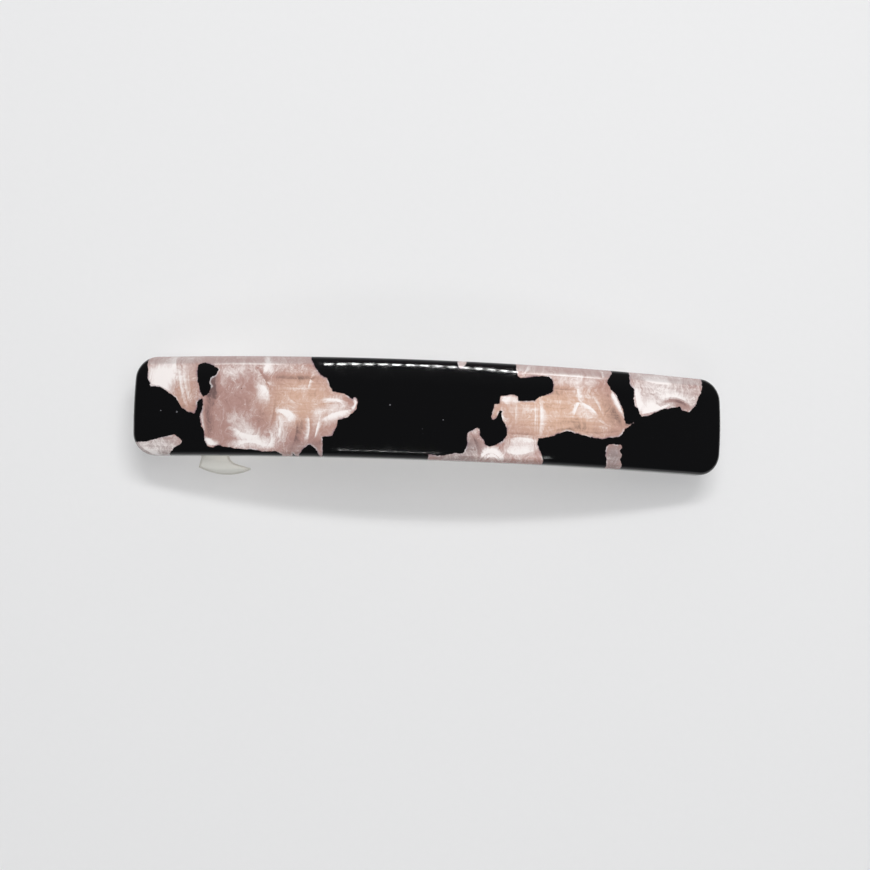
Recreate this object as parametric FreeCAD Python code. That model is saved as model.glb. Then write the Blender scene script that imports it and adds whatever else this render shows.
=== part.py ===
import FreeCAD
import Part

import math
import os

from FreeCAD import Placement, Rotation, Vector

# A hair barrette: an arched cellulose acetate plate on a sprung steel clip.
# Under the plate a steel bar follows the arch. A flat lever hangs from two ears at the bar's
# +X end and snaps over two sprung fingers at its -X end. Squeezing the fingers' wings pulls
# their hooks inwards and lets the lever swing open. A thin bow spring under the bar presses
# the hair against the lever.
#
# Millimetres, +Z up, +X towards the hinge, the decorated face up. The origin is on the table,
# under the middle of the clip, which stands there on its two ears and its two hooks.
# Stations along the arch are arc lengths from the middle, on the plate's underside.

# --- Driving dimensions -------------------------------------------------------------------

# The plate
plate_length = 90.0         # along the curved top face
plate_width = 14.5
plate_thickness = 3.2
plate_corner = 3.2          # corner radius of the outline
plate_crown_radius = 40.0   # of the top face, across the plate
plate_top_round = 0.7
plate_under_round = 0.6
arch_radius = 112.0         # of the plate's underside
catch_height = 7.93         # table to the plate's underside, over the catch's middle
plate_offset = 0.8          # the plate's middle line to the rear of the clip's

# The base bar
bar_length = 71.0           # along its arched top
bar_width = 7.8
bar_thickness = 0.6
bar_corner = 2.2

# The hinge
pin_from_end = 3.05         # station of the pin, back from the bar's end
pin_radius = 0.7
pin_head_radius = 1.15
pin_head_height = 0.4
pin_fit = 0.04              # radial clearance of the lever's lugs on the pin
pin_height = 2.7            # over the table that the ears stand on
ear_foot = 4.8              # length of each ear's foot, over its round corners
ear_foot_corner = 1.3
ear_length = 5.9            # along the bar, up to its end
ear_gap = 0.2               # lug to ear, each side

# The lever
lever_thickness = 0.7
lever_arch_radius = 190.0   # of its inner face
lever_under_pin = 1.05      # pin's axis to the inner face below it
lever_flange = 0.6          # height of the folded edges over the inner face
lever_wall = 0.6            # thickness of the folded edges
lever_tail = 1.9            # the strip's end past the pin
lever_past_bar = 0.3        # the free end past the bar's end
lug_radius = 1.85
window_length = 4.4
rail_width = 0.9

# The catch
catch_from_end = 3.4        # station of the catch's middle, back from the bar's end
catch_length = 6.4
catch_sheet = 0.4
saddle_half_width = 1.2
finger_gap = 0.05           # saddle to finger
root_depth = 0.42           # finger's bend below the bar
hook_length = 2.5
wing_stem_from = 0.45       # catch's end to the wing's stem
wing_stem_length = 4.0
wing_spread = 0.35          # the rim's heel past the stem
wing_toe = 1.5              # the rim's toe past the catch's other end
wing_depth = 2.1            # wing below the bar
wing_reach = 8.75           # middle of the clip to the wing's rim
hook_overlap = 0.55         # hook past the window's edge
hook_gap = 0.12             # lever to hook when shut

# The bow spring and the two bridges that hold its ends
spring_sheet = 0.25
spring_width = 4.2
spring_tongue_width = 3.0
spring_over_lever = 0.7     # bow to lever when shut
bridge_from_end = 14.2      # stations, back from the bar's ends
bridge_length = 1.4
bridge_sheet = 0.4
bridge_clearance = 0.15
tongue_past_bridge = 0.9
tongue_gap = 0.08           # tongue to bar

# The pins that hold the clip to the plate, and the rivet that holds the catch
mount_from_end = 10.3       # stations, back from the bar's ends
mount_radius = 0.8
mount_head_radius = 1.4
mount_head_height = 0.5
mount_depth = 2.0           # into the plate
mount_fit = 0.05            # radial clearance in the bar
rivet_from_end = 1.6        # station, back from the bar's catch end
rivet_radius = 0.55
rivet_head_radius = 0.9
rivet_head_height = 0.35
rivet_flare_radius = 0.95   # countersunk end, flush with the bar's top
flush_gap = 0.03

# --- Worked out from them -----------------------------------------------------------------

plate_outer_radius = arch_radius + plate_thickness
plate_half_angle = plate_length / 2 / plate_outer_radius
bar_inner_radius = arch_radius - bar_thickness
bar_end = bar_length / 2
bar_end_x = arch_radius * math.sin(bar_end / arch_radius)
catch_station = -(bar_end - catch_from_end)
arch_centre_z = catch_height - arch_radius * math.cos(catch_station / arch_radius)
clip_height = arch_centre_z + arch_radius   # to the middle of the plate's underside
ear_root = bar_end - ear_length
rivet_station = -(bar_end - rivet_from_end)
mount_station = bar_end - mount_from_end
bridge_station = bar_end - bridge_from_end
pin_x = arch_radius * math.sin((bar_end - pin_from_end) / arch_radius)
pin_z = pin_height
lever_nose = bar_end_x + lever_past_bar
ear_inner = bar_width / 2 - bar_thickness
lever_half_width = ear_inner - ear_gap
lever_centre_z = pin_z - lever_under_pin - math.sqrt(lever_arch_radius**2 - pin_x**2)
window_half_width = lever_half_width - rail_width
finger_inner = saddle_half_width + finger_gap
finger_middle = finger_inner + catch_sheet / 2
far = 200.0                 # larger than the object, for cutting tools


# --- Helpers ------------------------------------------------------------------------------

def on_arch(station, depth):
    """Placement at a station, that deep under the plate: local X along the arch, local Z out of it."""
    angle = station / arch_radius
    radius = arch_radius - depth
    at = Vector(radius * math.sin(angle), 0, arch_centre_z + radius * math.cos(angle))
    return Placement(at, Rotation(Vector(0, 1, 0), math.degrees(angle)))


def on_lever(x):
    """Placement on the lever's outer face at x, with local X along the lever and local Z towards the bar."""
    radius = lever_arch_radius - lever_thickness
    angle = math.asin(x / radius)
    at = Vector(x, 0, lever_centre_z + radius * math.cos(angle))
    return Placement(at, Rotation(Vector(0, 1, 0), math.degrees(angle)))


def placed(shape, placement):
    """A copy of a shape built in local coordinates, moved to its place."""
    copy = shape.copy()
    copy.Placement = placement.multiply(copy.Placement)
    return copy


def arched_slab(inner, outer, centre_z, half_width, low, high):
    """A slab bent to an arc in XZ, between two radii and two angles from the vertical."""
    def at(radius, angle):
        return Vector(radius * math.sin(angle), -half_width, centre_z + radius * math.cos(angle))
    middle = (low + high) / 2
    outline = Part.Wire([
        Part.Arc(at(outer, low), at(outer, middle), at(outer, high)).toShape(),
        Part.makeLine(at(outer, high), at(inner, high)),
        Part.Arc(at(inner, high), at(inner, middle), at(inner, low)).toShape(),
        Part.makeLine(at(inner, low), at(outer, low)),
    ])
    return Part.Face(outline).extrude(Vector(0, 2 * half_width, 0))


def face(outline, to_space):
    """A flat face inside a closed outline. An edge is a line between two points or an arc through three."""
    edges = []
    for edge in outline:
        ends = [to_space(u, v) for u, v in edge]
        edges.append(Part.Arc(*ends).toShape() if len(ends) == 3 else Part.makeLine(*ends))
    return Part.Face(Part.Wire(edges))


def bent_sheet(points, radii, thickness, to_space):
    """Section of a bent strip, as a face. Its middle line has a corner with an arc at each inner point."""
    vectors = [Vector(u, v, 0) for u, v in points]
    ways = [(b - a).normalize() for a, b in zip(vectors, vectors[1:])]
    lefts = [Vector(-w.y, w.x, 0) for w in ways]
    half = thickness / 2

    def side(offset):
        """Edges of the strip's outline at an offset to the left of the middle line."""
        edges, start = [], vectors[0] + lefts[0] * offset
        for corner, radius, way, left, next_way, next_left in zip(
                vectors[1:-1], radii, ways, lefts, ways[1:], lefts[1:]):
            turn = math.atan2(way.x * next_way.y - way.y * next_way.x, way.dot(next_way))
            hand = math.copysign(1, turn)
            reach = radius * math.tan(abs(turn) / 2)
            first, last = corner - way * reach, corner + next_way * reach
            centre = first + left * (hand * radius)
            middle = centre - (left + next_left).normalize() * (hand * (radius - hand * offset))
            first, last = first + left * offset, last + next_left * offset
            edges += [(start, first), (first, middle, last)]
            start = last
        return edges + [(start, vectors[-1] + lefts[-1] * offset)]

    left, right = side(half), side(-half)
    back = [tuple(reversed(edge)) for edge in reversed(right)]
    far_cap = (left[-1][-1], right[-1][-1])
    near_cap = (right[0][0], left[0][0])
    outline = [[(p.x, p.y) for p in edge] for edge in left + [far_cap] + back + [near_cap]]
    return face(outline, to_space)


def prism(outline, to_space, along):
    """A closed outline, as face takes it, extruded."""
    return face(outline, to_space).extrude(along)


def loop(points):
    """The straight edges of a closed outline through the points."""
    return list(zip(points, points[1:] + points[:1]))


def round_column(radius, top, bottom):
    """A cylinder along local Z between two heights."""
    return Part.makeCylinder(radius, top - bottom, Vector(0, 0, bottom))


def rivet_head(radius, height, top):
    """A low round head under a height, its lower rim rounded."""
    head = round_column(radius, top, top - height)
    rim = [e for e in head.Edges if abs(e.CenterOfMass.z - (top - height)) < 1e-6]
    return head.makeFillet(height / 2, rim)


def in_yz(y, z):
    return Vector(0, y, z)


def in_xy(x, y):
    return Vector(x, y, 0)


def in_xz(x, z):
    return Vector(x, 0, z)


def mirrored(shape):
    """The same shape on the other side of the XZ plane."""
    return shape.mirror(Vector(0, 0, 0), Vector(0, 1, 0))


# --- Sub-parts ----------------------------------------------------------------------------

def acetate_plate():
    """The decorated plate: a crowned blank with round corners, bent warm, its edges tumbled round."""
    half = plate_width / 2
    crown = plate_crown_radius - math.sqrt(plate_crown_radius**2 - half**2)
    edge_radius = plate_outer_radius - crown
    section = face([
        ((-half, arch_radius), (-half, edge_radius)),
        ((-half, edge_radius), (0, plate_outer_radius), (half, edge_radius)),
        ((half, edge_radius), (half, arch_radius)),
        ((half, arch_radius), (-half, arch_radius)),
    ], in_yz)
    centre = Vector(0, 0, 0)
    section.rotate(centre, Vector(0, 1, 0), -math.degrees(plate_half_angle))
    plate = section.revolve(centre, Vector(0, 1, 0), math.degrees(2 * plate_half_angle))

    def is_corner(edge):
        low, high = (v.Point for v in edge.Vertexes)
        return abs(low.y - high.y) < 1e-6 and abs(edge.Length - plate_thickness + crown) < 1e-3
    plate = plate.makeFillet(plate_corner, [e for e in plate.Edges if is_corner(e)])
    top = max(plate.Faces, key=lambda f: f.CenterOfMass.z)
    plate = plate.makeFillet(plate_top_round, top.Edges)

    def is_under_rim(edge):
        return all(abs(math.hypot(v.X, v.Z) - arch_radius) < 1e-4 for v in edge.Vertexes)
    plate = plate.makeFillet(plate_under_round, [e for e in plate.Edges if is_under_rim(e)])
    plate.translate(Vector(0, plate_offset, arch_centre_z))
    for station in (-mount_station, mount_station):
        hole = round_column(mount_radius, mount_depth, -mount_depth)
        plate = plate.cut(placed(hole, on_arch(station, 0)))
    return plate


def bar_blank():
    """The arched strip, with round corners at its ends."""
    half_angle = bar_end / arch_radius
    strip = arched_slab(bar_inner_radius, arch_radius, arch_centre_z, bar_width / 2,
                        -half_angle, half_angle)

    def is_corner(edge):
        low, high = (v.Point for v in edge.Vertexes)
        return abs(low.y - high.y) < 1e-6 and abs(edge.Length - bar_thickness) < 1e-3 and low.x < 0
    return strip.makeFillet(bar_corner, [e for e in strip.Edges if is_corner(e)])


def hinge_ears():
    """The two ears: the bar's edges folded down at its hinge end, each with a foot on the table."""
    y = bar_width / 2 - bar_thickness / 2
    top = clip_height - bar_thickness / 2
    section = bent_sheet([(-y, 0), (-y, top), (y, top), (y, 0)], [bar_thickness, bar_thickness],
                         bar_thickness, in_yz)
    start, end = ear_root / arch_radius, bar_end / arch_radius
    centre = Vector(0, 0, arch_centre_z)
    section.rotate(centre, Vector(0, 1, 0), math.degrees(start))
    channel = section.revolve(centre, Vector(0, 1, 0), math.degrees(end - start))
    # Seen from the side, the ears' flanks run from the bar's underside to the foot.
    left = on_arch(ear_root, bar_thickness).Base
    right = on_arch(bar_end, bar_thickness).Base
    foot = ear_foot / 2
    outline = loop([
        (left.x, left.z), (pin_x - foot, 0), (pin_x + foot, 0), (right.x, right.z),
        (right.x + 1, clip_height), (left.x - 1, clip_height), (left.x - 1, left.z),
    ])
    side = bar_width + 2
    keep = prism(outline, in_xz, Vector(0, side, 0))
    keep.translate(Vector(0, -side / 2, 0))
    corners = [e for e in keep.Edges if abs(e.Length - side) < 1e-6 and abs(e.CenterOfMass.z) < 1e-6]
    return channel.common(keep.makeFillet(ear_foot_corner, corners))


def spring_bridge():
    """A low bridge lanced from the bar, in its local frame: the spring's tongue slides under its strap."""
    inside = spring_tongue_width / 2 + bridge_clearance
    y = inside + bridge_sheet / 2
    z = -(tongue_gap + spring_sheet + bridge_clearance + bridge_sheet / 2)
    section = bent_sheet([(-y, bar_thickness / 2), (-y, z), (y, z), (y, bar_thickness / 2)],
                         [bridge_sheet, bridge_sheet], bridge_sheet, in_yz)
    bridge = section.extrude(Vector(bridge_length, 0, 0))
    bridge.translate(Vector(-bridge_length / 2, 0, 0))
    return bridge


def base_bar():
    """The clip's frame: the arched strip, its ears, its two spring bridges and its holes."""
    ears = hinge_ears()
    start = ear_root / arch_radius
    half_angle = bar_end / arch_radius
    # The strip stops where the ears' channel takes over from it.
    gone = arched_slab(bar_inner_radius - 1, arch_radius + 1, arch_centre_z, bar_width,
                       start, half_angle + 0.1)
    bar = bar_blank().cut(gone).fuse(ears)
    for station in (-bridge_station, bridge_station):
        bar = bar.fuse(placed(spring_bridge(), on_arch(station, bar_thickness)))
    for station in (-mount_station, mount_station):
        hole = round_column(mount_radius + mount_fit, 1, -bar_thickness - 1)
        bar = bar.cut(placed(hole, on_arch(station, 0)))
    hole = round_column(rivet_radius, 1, -bar_thickness - 1).fuse(rivet_flare())
    bar = bar.cut(placed(hole, on_arch(rivet_station, 0)))
    bore = Part.makeCylinder(pin_radius, bar_width + 2, Vector(pin_x, -bar_width / 2 - 1, pin_z),
                             Vector(0, 1, 0))
    return bar.removeSplitter().cut(bore)


def hinge_pin():
    """The pin through the ears and the lever's lugs, its two ends peened into low heads."""
    half = bar_width / 2
    along = Vector(0, 1, 0)
    pin = Part.makeCylinder(pin_radius, 2 * half, Vector(pin_x, -half, pin_z), along)
    crown = pin_head_height / 2
    for end, way in ((half, 1), (-half, -1)):
        foot = Vector(pin_x, end, pin_z)
        head = Part.makeCylinder(pin_head_radius, pin_head_height, foot, along * way)
        rim = [e for e in head.Edges if abs(e.CenterOfMass.y - (end + way * pin_head_height)) < 1e-6]
        pin = pin.fuse(head.makeFillet(crown, rim))
    return pin.removeSplitter()


def window_middle_x():
    """Where the hooks come through the lever."""
    catch = on_arch(catch_station, bar_thickness)
    hook_middle = catch_length / 2 - hook_length / 2
    depth = catch.Base.z - (lever_centre_z + lever_arch_radius * math.cos(catch.Base.x / lever_arch_radius))
    return catch.multVec(Vector(hook_middle, 0, -depth)).x


def locking_lever():
    """The lever: an arched strip with folded edges, two lugs round the pin and a window near its nose."""
    top = lever_arch_radius + lug_radius + lever_under_pin + 1
    middle = lever_arch_radius - lever_thickness / 2
    y = lever_half_width - lever_wall / 2
    bend = lever_thickness
    section = bent_sheet([(-y, top), (-y, middle), (y, middle), (y, top)], [bend, bend],
                         lever_wall, in_yz)
    nose = -math.asin(lever_nose / lever_arch_radius)
    tail = math.asin((pin_x + lever_tail) / lever_arch_radius)
    centre = Vector(0, 0, 0)
    section.rotate(centre, Vector(0, 1, 0), math.degrees(nose))
    channel = section.revolve(centre, Vector(0, 1, 0), math.degrees(tail - nose))
    channel.translate(Vector(0, 0, lever_centre_z))
    # What is kept, seen from the side: the web, the low folded edges and the round lugs.
    low = lever_arch_radius - 2 * lever_thickness
    keep = arched_slab(low, lever_arch_radius + lever_flange, lever_centre_z, lever_half_width + 1,
                       nose - 0.01, tail + 0.01)
    side = 2 * lever_half_width + 2
    lug = Part.makeCylinder(lug_radius, side, Vector(pin_x, -side / 2, pin_z), Vector(0, 1, 0))
    skirt = Part.makeBox(2 * lug_radius, side, pin_z, Vector(pin_x - lug_radius, -side / 2, 0))
    lever = channel.common(keep.fuse([lug, skirt]))
    # The plan: a round nose, and the window for the hooks.
    nose_x, half = -lever_nose, lever_half_width
    shoulder = nose_x + half
    plan = prism([
        ((shoulder, -half), (far, -half)), ((far, -half), (far, half)),
        ((far, half), (shoulder, half)), ((shoulder, half), (nose_x, 0), (shoulder, -half)),
    ], in_xy, Vector(0, 0, far))
    plan.translate(Vector(0, 0, -far / 2))
    lever = lever.common(plan)
    x = window_middle_x()
    window = Part.makeBox(window_length, 2 * window_half_width, far,
                          Vector(x - window_length / 2, -window_half_width, -far / 2))
    upright = [e for e in window.Edges if abs(e.Length - far) < 1e-6]
    lever = lever.cut(window.makeFillet(rail_width / 2, upright))
    bore = Part.makeCylinder(pin_radius + pin_fit, side, Vector(pin_x, -side / 2, pin_z),
                             Vector(0, 1, 0))
    return lever.cut(bore).removeSplitter()


def catch_saddle():
    """The middle of the catch, riveted under the bar. The two fingers are folded from its edges."""
    low = (catch_station - catch_length / 2) / arch_radius
    high = (catch_station + catch_length / 2) / arch_radius
    saddle = arched_slab(bar_inner_radius - catch_sheet, bar_inner_radius, arch_centre_z,
                         saddle_half_width, low, high)
    hole = round_column(rivet_radius, 1, -bar_thickness - catch_sheet - 1)
    return saddle.cut(placed(hole, on_arch(rivet_station, 0)))


def rivet_flare():
    """The countersink in the bar's top, and the rivet's end that fills it."""
    return Part.makeCone(rivet_radius, rivet_flare_radius, bar_thickness, Vector(0, 0, -bar_thickness))


def catch_rivet():
    """The rivet through saddle and bar: a low round head below, a countersunk end in the bar's top."""
    under = -bar_thickness - catch_sheet
    shank = round_column(rivet_radius, 0, under)
    body = shank.fuse(rivet_flare()).common(round_column(rivet_flare_radius, -flush_gap, under))
    head = rivet_head(rivet_head_radius, rivet_head_height, under)
    return placed(body.fuse(head).removeSplitter(), on_arch(rivet_station, 0))


def wing_plan():
    """The wing's plan in the catch's frame: a stem that spreads into a curved rim with a pointed toe."""
    left = wing_stem_from - catch_length / 2
    right = left + wing_stem_length
    heel = left - wing_spread
    toe = catch_length / 2 + wing_toe
    rim = wing_reach
    return prism([
        ((left, 0), (left, rim - 2.4)),
        ((left, rim - 2.4), (heel, rim - 1.0)),
        ((heel, rim - 1.0), (right - 0.15, rim), (toe - 0.15, rim - 0.65)),
        ((toe - 0.15, rim - 0.65), (toe, rim - 0.82), (toe - 0.2, rim - 0.95)),
        ((toe - 0.2, rim - 0.95), (right + 1.15, rim - 1.54)),
        ((right + 1.15, rim - 1.54), (right + 0.35, rim - 2.1)),
        ((right + 0.35, rim - 2.1), (right, rim - 2.9)),
        ((right, rim - 2.9), (right, 0)),
        ((right, 0), (left, 0)),
    ], in_xy, Vector(0, 0, 2 * wing_depth + 2))


def catch_finger():
    """The finger on the +Y side: its leg, the wing that a fingertip squeezes, and the lever's hook."""
    catch = on_arch(catch_station, bar_thickness)
    left, right = -catch_length / 2, catch_length / 2
    hook_from = right - hook_length
    root, y = -root_depth, finger_middle
    # The leg's upper part, with a round top edge where the real sheet bends.
    leg = Part.makeBox(catch_length, catch_sheet, wing_depth - root_depth - 0.8,
                       Vector(left, finger_inner, -wing_depth + 0.8))
    bead = Part.makeCylinder(catch_sheet / 2, catch_length, Vector(left, y, root), Vector(1, 0, 0))
    # The wing: down from the root, out sideways, with a rim turned down a little.
    lip = wing_reach - 0.65
    turned_down = 0.45
    wing = bent_sheet([(y, root), (y, -wing_depth), (lip, -wing_depth),
                       (wing_reach + 0.1, -wing_depth - turned_down)],
                      [catch_sheet, 1.0], catch_sheet, in_yz)
    wing = wing.extrude(Vector(catch_length + 2 * wing_toe + 2, 0, 0))
    wing.translate(Vector(left - wing_toe - 1, 0, 0))
    plan = wing_plan()
    plan.translate(Vector(0, 0, -2 * wing_depth - 1))
    upper = placed(leg.fuse([bead, wing.common(plan)]), catch)
    # The hook: a shoulder under the lever's rail, then a ramp back inwards for the rail to snap over.
    lever = on_lever(window_middle_x())
    shoulder = -hook_gap - catch_sheet / 2
    out = window_half_width + hook_overlap - catch_sheet / 2 + 0.2
    ramp_end = (finger_middle + 0.45, -lever.Base.z - 0.4)
    high = clip_height / 3
    hook = bent_sheet([(y, high), (y, shoulder), (out, shoulder), ramp_end],
                      [0.75 * catch_sheet, 0.6 * catch_sheet], catch_sheet, in_yz)
    hook = hook.extrude(Vector(hook_length, 0, 0))
    hook.translate(Vector(-hook_length / 2, 0, 0))
    hook = placed(hook, lever)
    # The hook's leg joins the two, in the leg's own plane.
    corners = [catch.multVec(Vector(hook_from, 0, root)), catch.multVec(Vector(right, 0, root)),
               lever.multVec(Vector(hook_length / 2, 0, 2 * catch_sheet)),
               lever.multVec(Vector(-hook_length / 2, 0, 2 * catch_sheet))]
    blade = prism(loop([(c.x, c.z) for c in corners]), in_xz, Vector(0, catch_sheet, 0))
    blade.translate(Vector(0, finger_inner, 0))
    # Above the shoulder the bent sheet keeps the blade's outline.
    trim = prism(loop([(c.x, c.z) for c in corners[:3]] + [(corners[2].x, -hook_length),
                      (corners[3].x, -hook_length), (corners[3].x, corners[3].z)]),
                 in_xz, Vector(0, far, 0))
    hook = hook.common(trim)
    # The hooks' tips are dressed flat where the clip stands on them.
    table = Part.makeBox(far, far, far, Vector(-far / 2, -far / 2, 0))
    finger = upper.fuse([blade, hook]).removeSplitter().common(table)
    return finger


def bow_spring():
    """The thin steel bow. Its end tongues slide under the bridges, its middle presses towards the lever."""
    depth = bar_thickness + tongue_gap + spring_sheet / 2
    tip = bridge_station + bridge_length / 2 + tongue_past_bridge
    neck = bridge_station - bridge_length / 2 - tongue_past_bridge
    outer = on_arch(tip, depth).Base
    inner = on_arch(neck, depth).Base
    lowest = lever_centre_z + lever_arch_radius + spring_over_lever + spring_sheet / 2
    # The flanks' slope puts the lowest point of the arc between them at its height.
    straight = 1.5              # of each flank, next to the neck's bend
    half_turn = 2 * math.atan((inner.z - lowest) / (inner.x + straight))
    corner = (0.0, inner.z - inner.x * math.tan(half_turn))
    radius = (inner.x / math.cos(half_turn) - straight) / math.tan(half_turn)
    neck_bend = 2.0
    points = [(-outer.x, outer.z), (-inner.x, inner.z), corner, (inner.x, inner.z), (outer.x, outer.z)]
    bow = bent_sheet(points, [neck_bend, radius, neck_bend], spring_sheet, in_xz)
    bow = bow.extrude(Vector(0, spring_width, 0))
    bow.translate(Vector(0, -spring_width / 2, 0))
    # The plan: full width between the bridges, narrow tongues at the ends.
    wide, narrow = spring_width / 2, spring_tongue_width / 2
    step = on_arch(neck + 0.3, depth).Base.x
    plan = prism(loop([
        (-step, -wide), (step, -wide), (step + 0.4, -narrow), (far, -narrow),
        (far, narrow), (step + 0.4, narrow), (step, wide), (-step, wide),
        (-step - 0.4, narrow), (-far, narrow), (-far, -narrow), (-step - 0.4, -narrow),
    ]), in_xy, Vector(0, 0, far))
    return bow.common(plan)


def mounting_pin(station):
    """A headed pin, pressed warm through the bar into a blind hole in the plate."""
    under = -bar_thickness
    shank = round_column(mount_radius, mount_depth, under)
    head = rivet_head(mount_head_radius, mount_head_height, under)
    return placed(shank.fuse(head).removeSplitter(), on_arch(station, 0))


# --- Output -------------------------------------------------------------------------------

def main():
    os.makedirs("parts", exist_ok=True)
    finger = catch_finger()
    nodes = {
        "acetate_plate": acetate_plate(),
        "base_bar": base_bar(),
        "hinge_pin": hinge_pin(),
        "locking_lever": locking_lever(),
        "bow_spring": bow_spring(),
        "catch_saddle": catch_saddle(),
        "catch_rivet": catch_rivet(),
        "catch_finger_rear": finger,
        "catch_finger_front": mirrored(finger),
        "mounting_pin_hinge_end": mounting_pin(mount_station),
        "mounting_pin_catch_end": mounting_pin(-mount_station),
    }
    for name, shape in nodes.items():
        solids = shape.Solids
        print(name, "solids", len(solids), "valid", shape.isValid(), "volume", round(shape.Volume, 2))
        shape.exportStep(f"parts/{name}.step")
    root = on_arch(catch_station, bar_thickness).multVec(Vector(0, finger_middle, -root_depth))
    way = on_arch(catch_station, 0).Rotation.multVec(Vector(1, 0, 0))
    print("hinge axis at", [round(pin_x, 5), 0, pin_z])
    print("finger bend at", [round(c, 5) for c in root], "along", [round(c, 7) for c in way])


main()
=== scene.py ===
import math

import bmesh
import bpy
import numpy as np
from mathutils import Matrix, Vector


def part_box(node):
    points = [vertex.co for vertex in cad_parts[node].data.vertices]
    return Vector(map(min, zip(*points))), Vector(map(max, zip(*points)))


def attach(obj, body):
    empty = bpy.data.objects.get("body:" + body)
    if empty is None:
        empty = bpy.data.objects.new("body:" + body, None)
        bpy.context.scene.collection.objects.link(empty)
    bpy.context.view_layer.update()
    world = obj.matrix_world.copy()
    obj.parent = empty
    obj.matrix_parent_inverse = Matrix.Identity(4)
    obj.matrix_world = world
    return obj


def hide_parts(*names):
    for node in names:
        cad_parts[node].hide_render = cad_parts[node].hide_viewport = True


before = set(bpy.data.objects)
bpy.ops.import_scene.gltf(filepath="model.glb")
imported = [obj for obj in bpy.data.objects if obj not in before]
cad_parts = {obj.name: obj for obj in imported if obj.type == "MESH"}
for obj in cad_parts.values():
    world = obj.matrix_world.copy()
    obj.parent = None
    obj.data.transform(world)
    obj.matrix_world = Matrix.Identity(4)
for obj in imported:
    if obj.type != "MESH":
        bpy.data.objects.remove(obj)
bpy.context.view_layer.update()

# --- The acetate plate --------------------------------------------------------------------
# A strip of cellulose acetate block, sawn from chips of black and of pearly pink that were
# fused together. It is bent warm over a former and tumbled, so its face is a little crowned
# and its edges are round. The chips run right through it.

MM = 0.001
plate_half_length = 45.0 * MM       # along the curved top face
plate_half_width = 7.25 * MM
plate_thickness = 3.2 * MM
plate_corner = 3.2 * MM
crown_radius = 40.0 * MM
top_round = 0.7 * MM
under_round = 0.6 * MM
under_radius = 112.0 * MM           # of the arch
face_radius = under_radius + plate_thickness
plate_low, plate_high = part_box("acetate_plate")
plate_top = plate_high.z
plate_middle = (plate_low.y + plate_high.y) / 2    # it is pinned a little off the clip's middle
arch_centre_z = plate_top - face_radius
skin = 0.004 * MM                   # the drawn face lies this far inside the solid's


def blank_outline(steps_long, steps_corner, steps_short):
    """Points and outward normals round the flat blank, a rectangle whose corners are quarter circles.

    A corner's points are its centre plus the radius times (cos, sin) of evenly spaced angles.
    The straight sides between the corners are evenly divided.
    """
    a, b, r = plate_half_length - skin, plate_half_width - skin, plate_corner
    points, normals = [], []
    corners = [(a - r, b - r, 0), (r - a, b - r, 90), (r - a, r - b, 180), (a - r, r - b, 270)]
    for i, (x, y, start) in enumerate(corners):
        turn = np.radians(np.linspace(start, start + 90, steps_corner))
        ways = np.stack([np.cos(turn), np.sin(turn)], 1)
        arc = np.array([x, y]) + r * ways
        nx, ny, next_start = corners[(i + 1) % 4]
        count = steps_long if start in (0, 180) else steps_short
        after = np.radians(next_start)
        to = np.array([nx, ny]) + r * np.array([math.cos(after), math.sin(after)])
        share = np.linspace(0, 1, count + 1)[1:-1, None]
        points += [arc, arc[-1] + share * (to - arc[-1])]
        normals += [ways, np.repeat(ways[-1:], count - 1, 0)]
    return np.concatenate(points), np.concatenate(normals)


def crown_drop(across):
    """How far the crowned face lies under its middle line: the sagitta of the crown's circle."""
    return crown_radius - np.sqrt(crown_radius**2 - across**2)


def on_plate(along, across, radius):
    """The blank rolled up: an arc length on the face becomes an angle about the arch's centre line."""
    angle = along / face_radius
    return np.stack([radius * np.sin(angle), plate_middle + across, arch_centre_z + radius * np.cos(angle)], -1)


outline, outward = blank_outline(steps_long=500, steps_corner=20, steps_short=52)
spine = np.zeros_like(outline)
spine_end = plate_half_length - plate_half_width
spine[:, 0] = np.clip(outline[:, 0], -spine_end, spine_end)

# The rows of the mesh go from the middle line of the face, over the rim, to the middle underneath.
# Each row keeps its places on the flat blank and its distance from the arch's centre line.
flat, level = [], []
top_rows, rim_rows, side_shares, under_rim_rows, under_rows = 44, 9, (0.33, 0.67), 7, 8
top_level, under_level = face_radius - skin, under_radius + skin
for share in np.linspace(0, 1, top_rows + 1)[:-1]:
    inner = outline - outward * top_round
    flat.append(spine + share * (inner - spine))
    level.append(top_level - crown_drop(flat[-1][:, 1]))
for turn in np.radians(np.linspace(0, 90, rim_rows)):
    flat.append(outline - outward * top_round * (1 - math.sin(turn)))
    level.append(top_level - crown_drop(flat[-1][:, 1]) - top_round * (1 - math.cos(turn)))
rim_foot = level[-1]
for share in side_shares:
    flat.append(outline)
    level.append(rim_foot + share * (under_level + under_round - rim_foot))
for turn in np.radians(np.linspace(90, 0, under_rim_rows)):
    flat.append(outline - outward * under_round * (1 - math.sin(turn)))
    level.append(np.full(len(outline), under_level + under_round * (1 - math.cos(turn))))
for share in np.linspace(1, 0, under_rows)[1:]:
    inner = outline - outward * under_round
    flat.append(spine + share * (inner - spine))
    level.append(np.full(len(outline), under_level))
flat, level = np.array(flat), np.array(level)
rows, around = level.shape
plate_points = on_plate(flat[..., 0], flat[..., 1], level).reshape(-1, 3)

row, column = np.meshgrid(np.arange(rows - 1), np.arange(around), indexing="ij")
beside = (column + 1) % around
quads = np.stack([row * around + column, (row + 1) * around + column,
                  (row + 1) * around + beside, row * around + beside], -1).reshape(-1, 4)
plate_mesh = bpy.data.meshes.new("plate")
plate_mesh.from_pydata(plate_points.tolist(), [], quads.tolist())
plate = bpy.data.objects.new("acetate_sheet", plate_mesh)
bpy.context.collection.objects.link(plate)

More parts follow.
